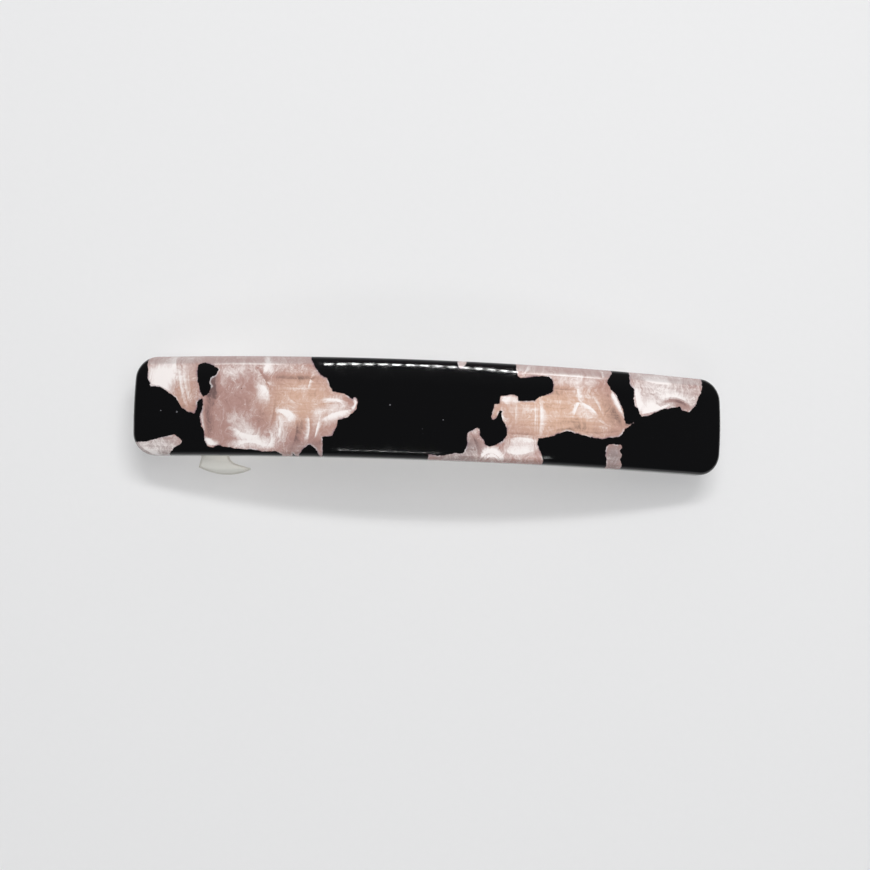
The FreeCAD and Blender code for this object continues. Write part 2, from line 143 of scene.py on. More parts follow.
# The chips, laid out on the unrolled face in millimetres from its middle: +x to the hinge, +y to the rear.
pearl_chips = {
    "left": [
        (-43.0, 9.0), (-43.0, 5.9), (-42.8, 4.0), (-42.3, 2.75), (-40.9, 2.65), (-39.9, 2.1), (-38.3, 1.05),
        (-37.3, -0.45), (-36.3, -1.1), (-35.35, -1.35), (-35.05, -0.7), (-34.95, 0.3), (-34.6, 0.75),
        (-34.2, 0.85), (-34.05, 0.3), (-34.15, -0.8), (-34.45, -1.5), (-34.45, -2.3), (-34.2, -3.2),
        (-33.8, -4.0), (-33.75, -5.2), (-33.3, -6.0), (-32.4, -6.2), (-31.5, -5.85), (-30.6, -6.2),
        (-28.5, -6.4), (-26.3, -6.45), (-25.3, -6.75), (-23.0, -6.7), (-22.2, -7.1), (-21.9, -9.0),
        (-20.9, -9.0), (-20.7, -6.8), (-20.3, -7.3), (-19.9, -7.3), (-19.1, -6.25), (-18.2, -5.7),
        (-17.4, -6.1), (-16.8, -7.2), (-16.6, -9.0), (-16.3, -9.0), (-16.4, -6.5), (-16.35, -4.6),
        (-15.0, -4.35), (-14.5, -3.3), (-14.2, -2.1), (-13.0, -1.7), (-12.2, -1.1), (-11.6, -0.4),
        (-11.45, 0.5), (-11.7, 1.25), (-12.1, 1.35), (-12.2, 0.95), (-13.0, 1.5), (-14.0, 1.85), (-15.1, 2.0),
        (-15.6, 2.9), (-16.0, 3.9), (-16.9, 4.4), (-17.5, 5.1), (-18.0, 6.0), (-18.4, 6.8), (-18.7, 9.0),
    ],
    "left corner": [
        (-46.0, -5.5), (-43.9, -5.4), (-42.3, -5.3), (-41.0, -4.95), (-39.5, -4.6), (-38.3, -4.35),
        (-37.8, -4.7), (-37.15, -5.3), (-37.3, -5.7), (-38.4, -6.3), (-39.3, -7.3), (-39.6, -9.0), (-46.0, -9.0),
    ],
    "rear speck": [(2.8, 9.0), (2.9, 6.5), (3.2, 6.05), (3.6, 6.1), (3.9, 6.5), (4.2, 7.0), (4.4, 9.0)],
    "right": [
        (-1.1, -9.0), (-1.1, -6.6), (0.3, -6.75), (1.5, -6.6), (2.8, -6.3), (3.6, -6.4), (4.1, -6.1),
        (4.5, -5.0), (4.45, -3.4), (5.1, -2.95), (5.9, -2.5), (6.3, -2.8), (6.25, -3.6), (6.9, -4.2),
        (7.1, -4.9), (7.7, -5.15), (8.7, -4.9), (9.6, -4.3), (10.3, -3.4), (10.3, -2.3), (9.9, -1.8),
        (9.5, -1.0), (9.4, 0.0), (9.1, 0.1), (8.9, -0.4), (8.6, -1.1), (8.1, -1.25), (7.9, -0.7), (8.15, 0.3),
        (8.3, 0.95), (9.1, 1.1), (9.2, 2.3), (10.2, 2.45), (11.1, 2.6), (11.8, 2.3), (11.85, 1.65),
        (12.9, 1.65), (14.4, 1.9), (15.0, 2.4), (16.2, 2.8), (17.0, 3.3), (17.15, 4.3), (17.0, 5.1),
        (16.5, 5.5), (15.5, 5.6), (13.5, 5.3), (12.2, 5.1), (11.75, 5.4), (11.6, 6.8), (11.6, 9.0),
        (26.4, 9.0), (26.4, 6.7), (25.9, 6.1), (25.5, 5.3), (26.0, 4.4), (26.9, 3.6), (27.4, 2.6), (28.1, 1.0),
        (28.2, 0.0), (28.4, -0.65), (29.0, -0.75), (29.75, -0.4), (29.2, -0.9), (28.4, -1.4), (28.0, -2.1),
        (27.6, -2.6), (26.0, -2.8), (24.7, -3.2), (23.3, -3.0), (21.5, -2.7), (20.0, -2.4), (19.3, -2.3),
        (18.4, -2.6), (17.0, -3.2), (15.9, -3.5), (15.0, -3.6), (14.9, -4.4), (15.5, -5.7), (15.9, -6.9),
        (16.1, -9.0),
    ],
    "rear right": [
        (29.2, 9.0), (29.2, 5.6), (29.5, 4.8), (29.9, 4.7), (29.8, 3.3), (29.9, 2.1), (30.4, 1.7), (30.7, 1.0),
        (31.1, 0.6), (32.0, 0.75), (33.2, 1.3), (34.6, 2.0), (35.6, 2.15), (36.6, 2.35), (37.5, 2.6),
        (37.9, 2.1), (38.6, 1.95), (39.1, 1.8), (39.7, 2.3), (40.3, 3.1), (40.7, 4.0), (41.3, 5.0),
        (41.6, 6.0), (41.8, 9.0),
    ],
    "front right": [
        (25.8, -9.0), (25.8, -6.7), (25.5, -5.5), (25.5, -4.3), (25.9, -3.85), (26.8, -3.8), (27.8, -3.8),
        (28.1, -4.2), (27.7, -4.7), (28.1, -5.3), (27.8, -6.0), (28.2, -6.6), (28.1, -9.0),
    ],
}
black_in_left = [
    (-35.3, 5.6), (-35.0, 6.0), (-34.2, 6.15), (-33.0, 5.9), (-32.5, 5.5), (-31.95, 5.1), (-32.4, 4.3),
    (-33.1, 3.9), (-33.3, 3.2), (-32.9, 2.6), (-33.2, 1.7), (-34.05, 1.05), (-34.6, 1.9), (-35.0, 3.3),
    (-35.2, 4.6),
]


def inside_by(spots, polygon):
    """How far each spot lies inside a polygon, negative outside.

    The distance is the least distance to a side. A spot is inside if a level ray crosses the sides
    an odd number of times.
    """
    corner = np.array(polygon, float)
    nearest, odd = np.full(len(spots), 1e9), np.zeros(len(spots), bool)
    x, y = spots[:, 0], spots[:, 1]
    for (ax, ay), (bx, by) in zip(corner, np.roll(corner, -1, 0)):
        dx, dy = bx - ax, by - ay
        share = np.clip(((x - ax) * dx + (y - ay) * dy) / (dx * dx + dy * dy), 0, 1)
        nearest = np.minimum(nearest, np.hypot(x - ax - share * dx, y - ay - share * dy))
        if dy:
            odd ^= ((ay > y) != (by > y)) & (x < ax + dx * (y - ay) / dy)
    return np.where(odd, nearest, -nearest)


blank_spots = flat.reshape(-1, 2) / MM
chip_edge = np.max([inside_by(blank_spots, p) for p in pearl_chips.values()], 0)
chip_edge = np.minimum(chip_edge, -inside_by(blank_spots, black_in_left))

# Clouds in the pearl: middle, half sizes, turn in degrees, and how pale (+) or dusky (-) they are.
clouds = [
    (-40.6, 4.3, 2.2, 1.7, 12, 1.25), (-36.8, 3.7, 1.2, 2.8, 14, 0.35), (-36.5, -0.4, 1.1, 0.8, 0, -0.15),
    (-26.0, 5.3, 8.5, 0.9, 0, 0.35), (-32.6, 1.7, 0.7, 2.0, -10, -0.4), (-33.2, -2.8, 0.8, 2.3, 0, -0.5),
    (-31.0, -5.6, 1.0, 0.7, 0, -0.15), (-27.3, -4.1, 1.9, 1.1, -12, 0.6), (-28.6, -2.3, 1.7, 1.0, 0, 0.32),
    (-25.3, 1.9, 0.9, 1.6, 15, 0.6), (-24.9, -5.6, 1.3, 0.8, 0, 0.7), (-28.5, -5.8, 1.9, 0.6, 0, 0.55),
    (-30.9, 4.3, 1.2, 0.8, 0, 0.15), (-29.3, 4.6, 1.5, 0.7, 0, 0.2), (-24.6, 6.2, 0.6, 1.4, 10, 0.5),
    (-21.4, -1.6, 1.4, 1.1, -20, 0.45), (-22.6, -3.7, 1.3, 2.0, 0, 0.35), (-19.3, -2.2, 0.5, 2.0, 0, -0.12),
    (-17.2, -1.6, 0.7, 1.4, 0, 0.35), (-14.8, 0.0, 2.2, 1.3, 12, 0.6), (-13.0, 0.6, 0.8, 0.5, 0, -0.5),
    (-20.5, 3.9, 2.6, 0.4, 0, -0.25), (-20.0, -5.9, 2.0, 0.8, 0, -0.1), (-17.2, -5.7, 0.7, 0.8, 0, -0.4),
    (-38.0, 7.0, 5.0, 0.5, 0, 0.2), (-33.1, -5.5, 0.5, 0.5, 0, 1.0), (-15.4, -3.5, 0.9, 0.7, 0, 0.05),
    (-25.1, -1.6, 0.7, 1.2, 0, -0.1), (-41.0, -6.2, 4.0, 2.0, 0, 0.4), (3.5, 7.0, 1.0, 1.0, 0, 0.3),
    (20.5, 5.3, 3.6, 1.0, 0, 0.5), (13.5, 6.5, 2.5, 0.8, 0, 0.3), (10.4, 1.9, 1.2, 0.6, 0, 0.8),
    (13.5, 0.3, 3.2, 1.1, 0, 0.2), (17.8, 0.4, 1.6, 0.6, 0, 0.2), (22.0, 0.7, 1.7, 1.0, -22, 0.5),
    (21.3, 3.2, 1.0, 1.2, 0, 0.3), (23.2, 2.7, 1.5, 1.0, 0, 0.15), (25.6, 1.4, 1.0, 2.4, 15, -0.3),
    (27.2, 0.4, 0.6, 1.5, 18, -0.5), (25.6, 4.3, 0.7, 1.2, 25, -0.2), (20.8, -1.3, 2.2, 0.7, 0, -0.45),
    (19.0, -2.3, 1.2, 0.5, 0, -0.4), (12.7, -5.0, 2.3, 1.5, 0, 0.6), (9.0, -6.3, 1.8, 0.8, 0, 0.5),
    (5.6, -4.8, 1.1, 1.3, 0, 0.05), (7.2, -5.7, 0.8, 0.8, 0, 0.2), (5.4, -3.1, 0.9, 0.5, 35, 0.35),
    (2.5, -6.9, 3.0, 0.5, 0, 0.15), (17.0, 3.2, 1.2, 0.8, 0, -0.25), (35.0, 4.5, 6.0, 3.4, 0, 0.5),
    (32.0, 2.2, 1.8, 0.9, 10, 0.4), (33.5, 5.3, 2.4, 0.7, 0, 0.12), (37.6, 2.9, 1.3, 0.6, -15, -0.5),
    (26.8, -5.4, 1.2, 1.8, 0, -0.15),
]
# Creases, and some painted highlight and reflection lines: start, middle pull and end of a curve, width, how
# bright (+) or dark (-), and the side that fades.
creases_and_reflections = [
    # The first two entries are painted highlights: the lamp rows' bright line along the rear rim over the pearl.
    (-34.0, 5.85, -29.0, 5.95, -22.0, 5.85, 0.09, 0.5, 1), (11.8, 5.75, 18.0, 5.85, 26.0, 5.75, 0.1, 0.6, 1),
    (-38.2, 5.8, -37.6, 1.5, -36.4, -0.9, 0.16, 0.45, 1), (-37.6, 5.8, -36.9, 2.0, -35.8, -0.7, 0.14, 0.3, 1),
    (-36.6, 5.6, -36.2, 2.5, -35.3, -0.4, 0.16, -0.25, 1), (-29.2, -3.4, -28.2, -4.8, -25.6, -4.5, 0.35, 0.7, -1),
    (-28.8, -5.9, -26.8, -4.9, -24.9, -6.0, 0.25, 0.5, 1), (-25.9, 2.9, -24.3, 2.5, -24.2, 0.6, 0.25, 0.5, -1),
    (-25.4, 3.9, -24.9, 3.0, -23.4, 2.6, 0.18, 0.45, 1), (-23.1, -0.8, -21.6, -0.5, -20.5, -1.7, 0.3, 1.0, -1),
    (-23.4, 1.2, -23.5, -1.5, -24.0, -3.4, 0.2, -0.5, 1), (-24.2, -3.8, -23.3, -5.0, -24.4, -6.2, 0.18, 0.5, 1),
    (-18.1, 4.6, -18.5, 3.5, -18.8, 1.9, 0.14, 0.75, 1), (-18.6, -1.6, -18.0, -2.6, -18.6, -5.4, 0.2, 0.9, -1),
    (-17.0, -2.2, -17.2, -3.2, -17.5, -4.7, 0.12, 0.8, 1), (-16.6, -2.3, -15.0, -0.9, -11.9, -0.6, 0.4, 0.9, -1),
    (-16.5, 0.9, -14.5, 1.2, -12.2, 0.2, 0.25, 0.45, -1), (-11.75, 1.2, -11.5, 0.3, -12.2, -0.8, 0.25, 0.9, -1),
    # The two level lines on the next line, from -23.6 mm along, are painted reflections: a pale one at 2.15 mm
    # across and a dark one at 3.9 mm.
    (-23.6, 2.15, -20.0, 2.35, -16.2, 2.15, 0.14, 0.35, 1), (-23.6, 3.9, -20.0, 3.7, -17.6, 3.9, 0.25, -0.45, 1),
    (-33.2, 5.0, -32.8, 3.2, -33.6, 1.0, 0.5, -0.6, 1), (-34.2, 0.2, -34.5, -2.5, -33.5, -4.4, 0.16, 0.7, 1),
    (-25.0, 4.6, -24.6, 5.6, -24.6, 7.0, 0.35, 0.5, 1), (-33.9, -4.4, -33.2, -6.3, -31.4, -5.7, 0.25, 0.9, 1),
    (-38.6, 7.4, -38.9, 6.0, -38.4, 5.0, 0.3, 0.7, -1), (-31.4, 4.4, -31.8, 3.2, -31.0, 2.4, 0.35, 0.3, 1),
    (-41.6, 3.0, -40.2, 2.9, -38.6, 1.4, 0.25, 0.5, 1), (-26.6, 5.6, -25.0, 4.2, -24.2, 2.0, 0.2, -0.45, 1),
    (-21.6, 1.5, -21.3, 0.2, -19.0, 0.1, 0.16, 0.4, -1), (-20.3, -2.0, -19.8, -3.8, -20.6, -5.6, 0.3, -0.5, 1),
    (-17.9, -0.2, -16.2, 0.5, -14.2, 0.3, 0.18, -0.4, -1), (-22.8, -1.6, -22.3, -3.2, -23.0, -4.9, 0.16, 0.45, 1),
    (15.0, 2.2, 15.5, 0.0, 15.1, -3.2, 0.3, 0.7, 1), (20.3, 0.0, 20.8, 1.8, 21.4, 2.2, 0.18, 1.0, 1),
    (21.2, 2.1, 23.0, 1.6, 24.0, 0.3, 0.16, 0.8, -1), (20.9, 4.3, 20.7, 3.2, 21.1, 2.2, 0.2, 0.5, 1),
    (26.3, 4.0, 27.1, 2.6, 28.0, 0.7, 0.28, 1.2, -1), (22.7, 3.9, 24.2, 1.5, 25.4, -0.7, 0.16, 0.4, 1),
    (23.9, -0.3, 25.0, -1.0, 26.2, -1.3, 0.12, 0.45, 1), (14.2, 1.9, 14.5, 0.0, 14.3, -3.0, 0.1, 0.5, 1),
    (11.6, 1.4, 11.3, 0.0, 11.6, -1.6, 0.12, 0.3, 1), (16.0, 2.2, 18.5, 1.9, 20.4, 2.3, 0.12, 0.45, -1),
    (16.0, 1.1, 18.4, 0.8, 19.8, 1.2, 0.1, -0.35, -1), (16.5, 3.9, 19.0, 3.6, 20.6, 3.9, 0.14, -0.35, 1),
    (9.4, 0.9, 8.9, -0.6, 10.2, -2.0, 0.16, 0.6, 1), (10.5, -3.25, 12.5, -3.05, 14.8, -3.3, 0.1, -0.5, 1),
    (10.6, -3.9, 12.5, -3.4, 14.8, -4.0, 0.2, 0.5, -1), (6.4, -7.2, 8.0, -4.6, 9.8, -7.2, 0.25, 0.9, 1),
    (7.2, -7.1, 8.3, -5.9, 9.3, -7.1, 0.12, 0.7, 1), (10.0, -5.5, 12.0, -6.6, 14.6, -5.2, 0.35, 0.5, 1),
    (28.3, -0.9, 29.0, -0.9, 29.7, -0.5, 0.15, -0.7, 1), (34.0, 3.2, 36.8, 5.0, 39.4, 2.9, 0.25, 0.5, 1),
    (34.3, 2.7, 36.8, 4.1, 39.0, 2.5, 0.4, -0.6, 1), (13.4, 7.0, 13.0, 6.2, 12.5, 5.6, 0.14, 0.7, 1),
    (-43.3, -6.2, -41.8, -7.2, -40.8, -7.3, 0.22, 0.8, 1), (24.6, 6.9, 24.8, 6.3, 24.9, 5.6, 0.12, 0.6, 1),
    (30.0, 4.9, 30.2, 3.0, 30.6, 1.3, 0.3, 0.9, 1), (30.9, 1.0, 33.4, 1.6, 35.4, 2.5, 0.3, 0.9, 1),
    (31.6, 6.2, 34.0, 5.6, 36.4, 6.0, 0.25, 0.6, 1), (4.9, -3.3, 6.0, -4.6, 6.3, -6.6, 0.2, -0.5, 1),
    (21.5, -2.3, 24.0, -2.6, 27.4, -1.9, 0.14, -0.4, 1), (16.2, -2.6, 18.6, -1.6, 21.0, -1.7, 0.14, 0.35, 1),
]


def cloud_shade(spots, x, y, half_x, half_y, turn, strength):
    """A soft oval: strength times exp(-0.75 r^2.8), where r is 0 in its middle and 1 on the oval."""
    c, s = math.cos(math.radians(turn)), math.sin(math.radians(turn))
    dx, dy = spots[:, 0] - x, spots[:, 1] - y
    r2 = ((dx * c + dy * s) / half_x) ** 2 + ((dy * c - dx * s) / half_y) ** 2
    return strength * np.exp(-0.75 * r2**1.4)


def nearest_curve_mark(spots, curves):
    """At each spot: signed distance to the nearest crease or painted highlight or reflection line, its brightness
    there, and its width.

    Each such line is a quadratic curve, taken as 14 straight pieces. Its brightness dies away at both ends
    and far from the curve. The distance is positive on the side that fades slowly.
    """
    pieces = 14
    nearest, found = np.full(len(spots), 1e9), np.zeros((len(spots), 3))
    steps = np.linspace(0, 1, pieces + 1)
    for ax, ay, bx, by, cx, cy, width, bright, side in curves:
        path_x = (1 - steps) ** 2 * ax + 2 * steps * (1 - steps) * bx + steps**2 * cx
        path_y = (1 - steps) ** 2 * ay + 2 * steps * (1 - steps) * by + steps**2 * cy
        for i in range(pieces):
            dx, dy = path_x[i + 1] - path_x[i], path_y[i + 1] - path_y[i]
            px, py = spots[:, 0] - path_x[i], spots[:, 1] - path_y[i]
            share = np.clip((px * dx + py * dy) / (dx * dx + dy * dy), 0, 1)
            away = np.hypot(px - share * dx, py - share * dy)
            ends = np.sqrt(np.sin(np.pi * np.clip((i + share) / pieces, 0.01, 0.99)))
            fade = np.clip(2.0 - away / (3 * width), 0, 1)
            hand = np.where(dx * py - dy * px > 0, side, -side)
            closer = away < nearest
            nearest = np.where(closer, away, nearest)
            here = np.stack([away * hand, bright * ends * fade, np.full(len(spots), width)], 1)
            found[closer] = here[closer]
    return found


pale = sum(cloud_shade(blank_spots, *c) for c in clouds)
# Where the pearl turns from pink to peach (+) or to ash (-), in the same order as the clouds.
warm_spots = [(-19.5, 0.7, 5.0, 3.6, 0, 0.85), (18.0, 0.5, 9.5, 4.0, 0, 1.0), (-37.0, 1.5, 1.8, 3.4, 0, 0.45),
              (26.8, -5.5, 1.6, 2.0, 0, -0.9), (3.0, -5.6, 4.5, 2.2, 0, -0.8), (-41.5, -6.3, 4.5, 2.2, 0, -0.7),
              (35.5, 4.5, 7.0, 3.4, 0, -0.45), (-33.0, 3.5, 1.0, 2.5, 0, -0.5), (-19.0, -6.3, 3.0, 1.2, 0, -0.5)]
warm = sum(cloud_shade(blank_spots, *c) for c in warm_spots)
pale, warm = np.clip(pale, -1, 1.3), np.clip(warm, -1, 1)
for name, values in (("chip_edge", chip_edge), ("pale", pale), ("warm", warm)):
    plate_mesh.attributes.new(name, "FLOAT", "POINT").data.foreach_set("value", values.astype(np.float32))
plate_mesh.attributes.new("crease_and_reflection", "FLOAT_VECTOR", "POINT").data.foreach_set(
    "vector", nearest_curve_mark(blank_spots, creases_and_reflections).astype(np.float32).ravel())
sheet_place = np.concatenate([blank_spots, (level.reshape(-1, 1) - face_radius) / MM], 1)
plate_mesh.attributes.new("sheet", "FLOAT_VECTOR", "POINT").data.foreach_set(
    "vector", sheet_place.astype(np.float32).ravel())

# The middle lines, where the rows from both sides meet, are joined, and the faces turned outwards.
work = bmesh.new()
work.from_mesh(plate_mesh)
bmesh.ops.remove_doubles(work, verts=work.verts, dist=1e-7)
bmesh.ops.recalc_face_normals(work, faces=work.faces)
for f in work.faces:
    f.smooth = True
work.to_mesh(plate_mesh)
work.free()


class Nodes:
    """A material's or a group's node tree, written one node to a line."""

    def __init__(self, tree):
        self.tree = tree

    def add(self, kind, settings=None, **inputs):
        """A node with its settings and its inputs, each a value or another node's output."""
        node = self.tree.nodes.new(kind)
        for key, value in (settings or {}).items():
            setattr(node, key, value)
        for key, value in inputs.items():
            socket = node.inputs[int(key[1:]) if key[0] == "i" and key[1:].isdigit() else key.replace("_", " ")]
            if isinstance(value, bpy.types.NodeSocket):
                self.tree.links.new(value, socket)
            else:
                socket.default_value = value
        return node

    def math(self, operation, a, b=0.0, c=0.0):
        """Arithmetic on two or three numbers."""
        return self.add("ShaderNodeMath", {"operation": operation}, i0=a, i1=b, i2=c).outputs[0]

    def mix(self, share, a, b):
        """Between two colours."""
        node = self.add("ShaderNodeMix", {"data_type": "RGBA"}, Factor=share)
        for socket, value in ((node.inputs[6], a), (node.inputs[7], b)):
            if isinstance(value, bpy.types.NodeSocket):
                self.tree.links.new(value, socket)
            else:
                socket.default_value = (*value, 1)
        return node.outputs[2]

    def ramp(self, value, low, high, to_low=0.0, to_high=1.0):
        """A smooth step between two values."""
        return self.add("ShaderNodeMapRange", {"interpolation_type": "SMOOTHSTEP"}, Value=value,
                        From_Min=low, From_Max=high, To_Min=to_low, To_Max=to_high).outputs[0]

    def noise(self, vector, scale, detail=3.0, roughness=0.5, distortion=0.0):
        """Soft noise about 0.5."""
        return self.add("ShaderNodeTexNoise", None, Vector=vector, Scale=scale, Detail=detail,
                        Roughness=roughness, Distortion=distortion).outputs[0]

    def stretch(self, vector, by):
        """A vector multiplied by three numbers."""
        return self.add("ShaderNodeVectorMath", {"operation": "MULTIPLY"}, i0=vector, i1=by).outputs[0]

    def read(self, attribute, output):
        """A value that the mesh carries."""
        return self.add("ShaderNodeAttribute", {"attribute_name": attribute}).outputs[output]


def new_group(name, inputs, outputs):
    """An empty node group with named sockets. Returns its nodes and its input and output nodes."""
    tree = bpy.data.node_groups.new(name, "ShaderNodeTree")
    for label, kind in inputs:
        tree.interface.new_socket(label, in_out="INPUT", socket_type=kind)
    for label, kind in outputs:
        tree.interface.new_socket(label, in_out="OUTPUT", socket_type=kind)
    nodes = Nodes(tree)
    return nodes, nodes.add("NodeGroupInput"), nodes.add("NodeGroupOutput")


def new_material(name):
    """A material with an empty tree but for its output. Returns it and its nodes."""
    material = bpy.data.materials.new(name)
    material.use_nodes = True
    material.node_tree.nodes.clear()
    return material, Nodes(material.node_tree)


def finish_material(nodes, shader):
    """Joins a shader to the material's surface."""
    out = nodes.add("ShaderNodeOutputMaterial")
    nodes.tree.links.new(shader.outputs[0], out.inputs[0])


# Fine wear that the tumbled acetate and the plated steel share: hairlines and finger marks.
nodes, given, result = new_group("handling_marks",
                                 [("Place", "NodeSocketVector"), ("Fineness", "NodeSocketFloat")],
                                 [("Smudge", "NodeSocketFloat"), ("Hairline", "NodeSocketFloat")])
smudge = nodes.noise(given.outputs["Place"], 0.35, 4, 0.6, 0.8)
hair = nodes.noise(nodes.stretch(given.outputs["Place"], (0.35, 5.0, 1.0)), 2.0, 5, 0.7)
hairline = nodes.math("MULTIPLY", nodes.ramp(hair, 0.5, 0.72), given.outputs["Fineness"])
nodes.tree.links.new(nodes.ramp(smudge, 0.45, 0.75), result.inputs["Smudge"])
nodes.tree.links.new(hairline, result.inputs["Hairline"])
handling_marks = nodes.tree

acetate, nodes = new_material("fused_acetate")
place = nodes.read("sheet", "Vector")
edge, tone, warmth = (nodes.read(name, "Fac") for name in ("chip_edge", "pale", "warm"))
ragged = nodes.math("SUBTRACT", nodes.noise(place, 1.1, 4, 0.62, 0.4), 0.5)
gritty = nodes.math("SUBTRACT", nodes.noise(place, 5.5, 3, 0.6), 0.5)
border = nodes.math("MULTIPLY_ADD", gritty, 0.22, nodes.math("MULTIPLY_ADD", ragged, 0.5, edge))
is_pearl = nodes.ramp(border, -0.035, 0.045)
rim_line = nodes.ramp(border, 0.3, 0.0)
# Pearl: satin layers that drift along the chip, warped so that they look folded, with creases and with painted
# highlight and reflection lines.
wander = nodes.add("ShaderNodeTexNoise", None, Vector=place, Scale=0.45, Detail=3.0)
warped = nodes.add("ShaderNodeVectorMath", {"operation": "MULTIPLY_ADD"},
                   i0=wander.outputs[1], i1=(4.0, 4.0, 2.0), i2=place)
layered = nodes.add("ShaderNodeMapping", None, Vector=warped.outputs[0],
                    Rotation=(0, 0, math.radians(63)), Scale=(1.0, 0.34, 0.5))
satin = nodes.noise(layered.outputs[0], 1.1, 7, 0.66, 1.2)
silk = nodes.noise(layered.outputs[0], 5.5, 4, 0.72, 0.6)
ridged = nodes.math("ABSOLUTE", nodes.math("SUBTRACT", nodes.noise(layered.outputs[0], 1.7, 3, 0.55, 1.6), 0.5))
patchy = nodes.ramp(nodes.noise(place, 0.42, 2), 0.45, 0.62)
crinkle = nodes.math("MULTIPLY", nodes.ramp(ridged, 0.028, 0.0), patchy)
lines = nodes.noise(nodes.stretch(place, (0.16, 2.6, 0.4)), 1.0, 4, 0.6)
# Creases, and painted highlight and reflection lines, as the mesh carries them.
crease_and_reflection = nodes.add("ShaderNodeSeparateXYZ", None, Vector=nodes.read("crease_and_reflection", "Vector"))
away, bright, width = crease_and_reflection.outputs[0], crease_and_reflection.outputs[1], crease_and_reflection.outputs[2]
slow = nodes.math("GREATER_THAN", away, 0.0)
fade_width = nodes.math("MULTIPLY", width, nodes.math("MULTIPLY_ADD", slow, 2.1, 0.4))
ratio = nodes.math("DIVIDE", nodes.math("MULTIPLY_ADD", gritty, 0.12, away), fade_width)
profile = nodes.math("EXPONENT", nodes.math("MULTIPLY", nodes.math("MULTIPLY", ratio, ratio), -1.0))
# Tone: from -1, dusky, to 1, pale. The peach parts also have fine straight lines.
tone = nodes.math("MULTIPLY_ADD", nodes.math("SUBTRACT", satin, 0.5), 1.5, tone)
tone = nodes.math("MULTIPLY_ADD", nodes.math("SUBTRACT", silk, 0.5), 0.8, tone)
tone = nodes.math("MULTIPLY_ADD", nodes.math("MULTIPLY", nodes.math("SUBTRACT", lines, 0.5), warmth), 1.3, tone)
# Creases and painted highlight and reflection lines brighten or darken the tone.
tone = nodes.math("MULTIPLY_ADD", profile, bright, tone)
tone = nodes.math("MULTIPLY_ADD", crinkle, 0.4, tone)
blush = nodes.mix(nodes.ramp(warmth, 0.0, -1.0), (0.44, 0.262, 0.232), (0.33, 0.265, 0.26))
warmth = nodes.math("MAXIMUM", warmth, 0.0)
blush = nodes.mix(warmth, blush, (0.68, 0.44, 0.33))
dusk = nodes.mix(warmth, (0.17, 0.105, 0.10), (0.25, 0.16, 0.12))
pearl = nodes.mix(nodes.ramp(tone, -0.1, 1.05), blush, (0.94, 0.88, 0.86))
pearl = nodes.mix(nodes.ramp(tone, 0.0, -0.9), pearl, dusk)
# On the rear rim the pearl is painted greyer: a painted reflection of the bright room at a grazing angle. Along a
# chip's border the pearl is lilac in places, pale in others.
across = nodes.add("ShaderNodeSeparateXYZ", None, Vector=place).outputs[1]
pearl = nodes.mix(nodes.ramp(across, 5.85, 6.25, 0.0, 0.45), pearl, (0.43, 0.385, 0.385))
lilac_rim = nodes.math("MULTIPLY", rim_line, nodes.ramp(nodes.noise(place, 0.5, 2), 0.42, 0.6))
pearl = nodes.mix(nodes.math("MULTIPLY", lilac_rim, 0.6), pearl, (0.20, 0.13, 0.18))
pale_rim = nodes.math("MULTIPLY", rim_line, nodes.ramp(nodes.noise(place, 0.45, 2, 0.5, 1.0), 0.5, 0.68))
pearl = nodes.mix(nodes.math("MULTIPLY", pale_rim, 0.6), pearl, (0.92, 0.88, 0.88))
# Stray specks: grey dust in the black, dark dots in the pearl. Each has a place and a radius.
specks = [(-8.7, 4.0, 0.11), (-6.8, 0.3, 0.1), (-2.05, -3.0, 0.1), (-1.95, -3.7, 0.13), (0.9, -1.6, 0.08),
          (2.2, -4.2, 0.1), (-40.5, -0.9, 0.08), (-38.0, -1.1, 0.12), (36.3, -6.8, 0.09), (-27.4, 6.5, 0.13),
          (-28.4, 2.3, 0.1), (22.5, 6.8, 0.14), (-5.4, -4.6, 0.07), (24.2, -5.2, 0.07), (33.0, -2.4, 0.06)]
speck = 0.0
for x, y, radius in specks:
    far_off = nodes.add("ShaderNodeVectorMath", {"operation": "DISTANCE"}, i0=place, i1=(x, y, 0.0))
    speck = nodes.math("MAXIMUM", speck, nodes.ramp(far_off.outputs["Value"], 1.5 * radius, 0.7 * radius))
black = nodes.mix(nodes.math("MULTIPLY", speck, 0.6), (0.0018, 0.0018, 0.0022), (0.22, 0.22, 0.24))
pearl = nodes.mix(nodes.math("MULTIPLY", speck, 0.8), pearl, (0.04, 0.02, 0.02))
colour = nodes.mix(is_pearl, black, pearl)
marks = nodes.add("ShaderNodeGroup", {"node_tree": handling_marks}, Place=place, Fineness=0.6)
rough = nodes.math("MULTIPLY_ADD", marks.outputs["Smudge"], 0.05, 0.035)
rough = nodes.math("MULTIPLY_ADD", marks.outputs["Hairline"], 0.03, rough)
rough = nodes.math("MULTIPLY_ADD", is_pearl, 0.05, rough)
relief = nodes.add("ShaderNodeBump", None, Strength=0.06, Distance=0.00002,
                   Height=nodes.math("MULTIPLY_ADD", marks.outputs["Hairline"], 0.3, nodes.noise(place, 0.6, 3)))
shader = nodes.add("ShaderNodeBsdfPrincipled", None, Base_Color=colour, Roughness=rough, IOR=1.48,
                   Normal=relief.outputs[0])
finish_material(nodes, shader)
plate_mesh.materials.append(acetate)
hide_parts("acetate_plate")
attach(plate, "clip_base")

# --- The clip's strips and catch ----------------------------------------------------------
# The bar, the lever and the catch are stamped from thin steel strip, folded, and barrel plated
# with nickel after folding, so that every edge is slightly round and bright.


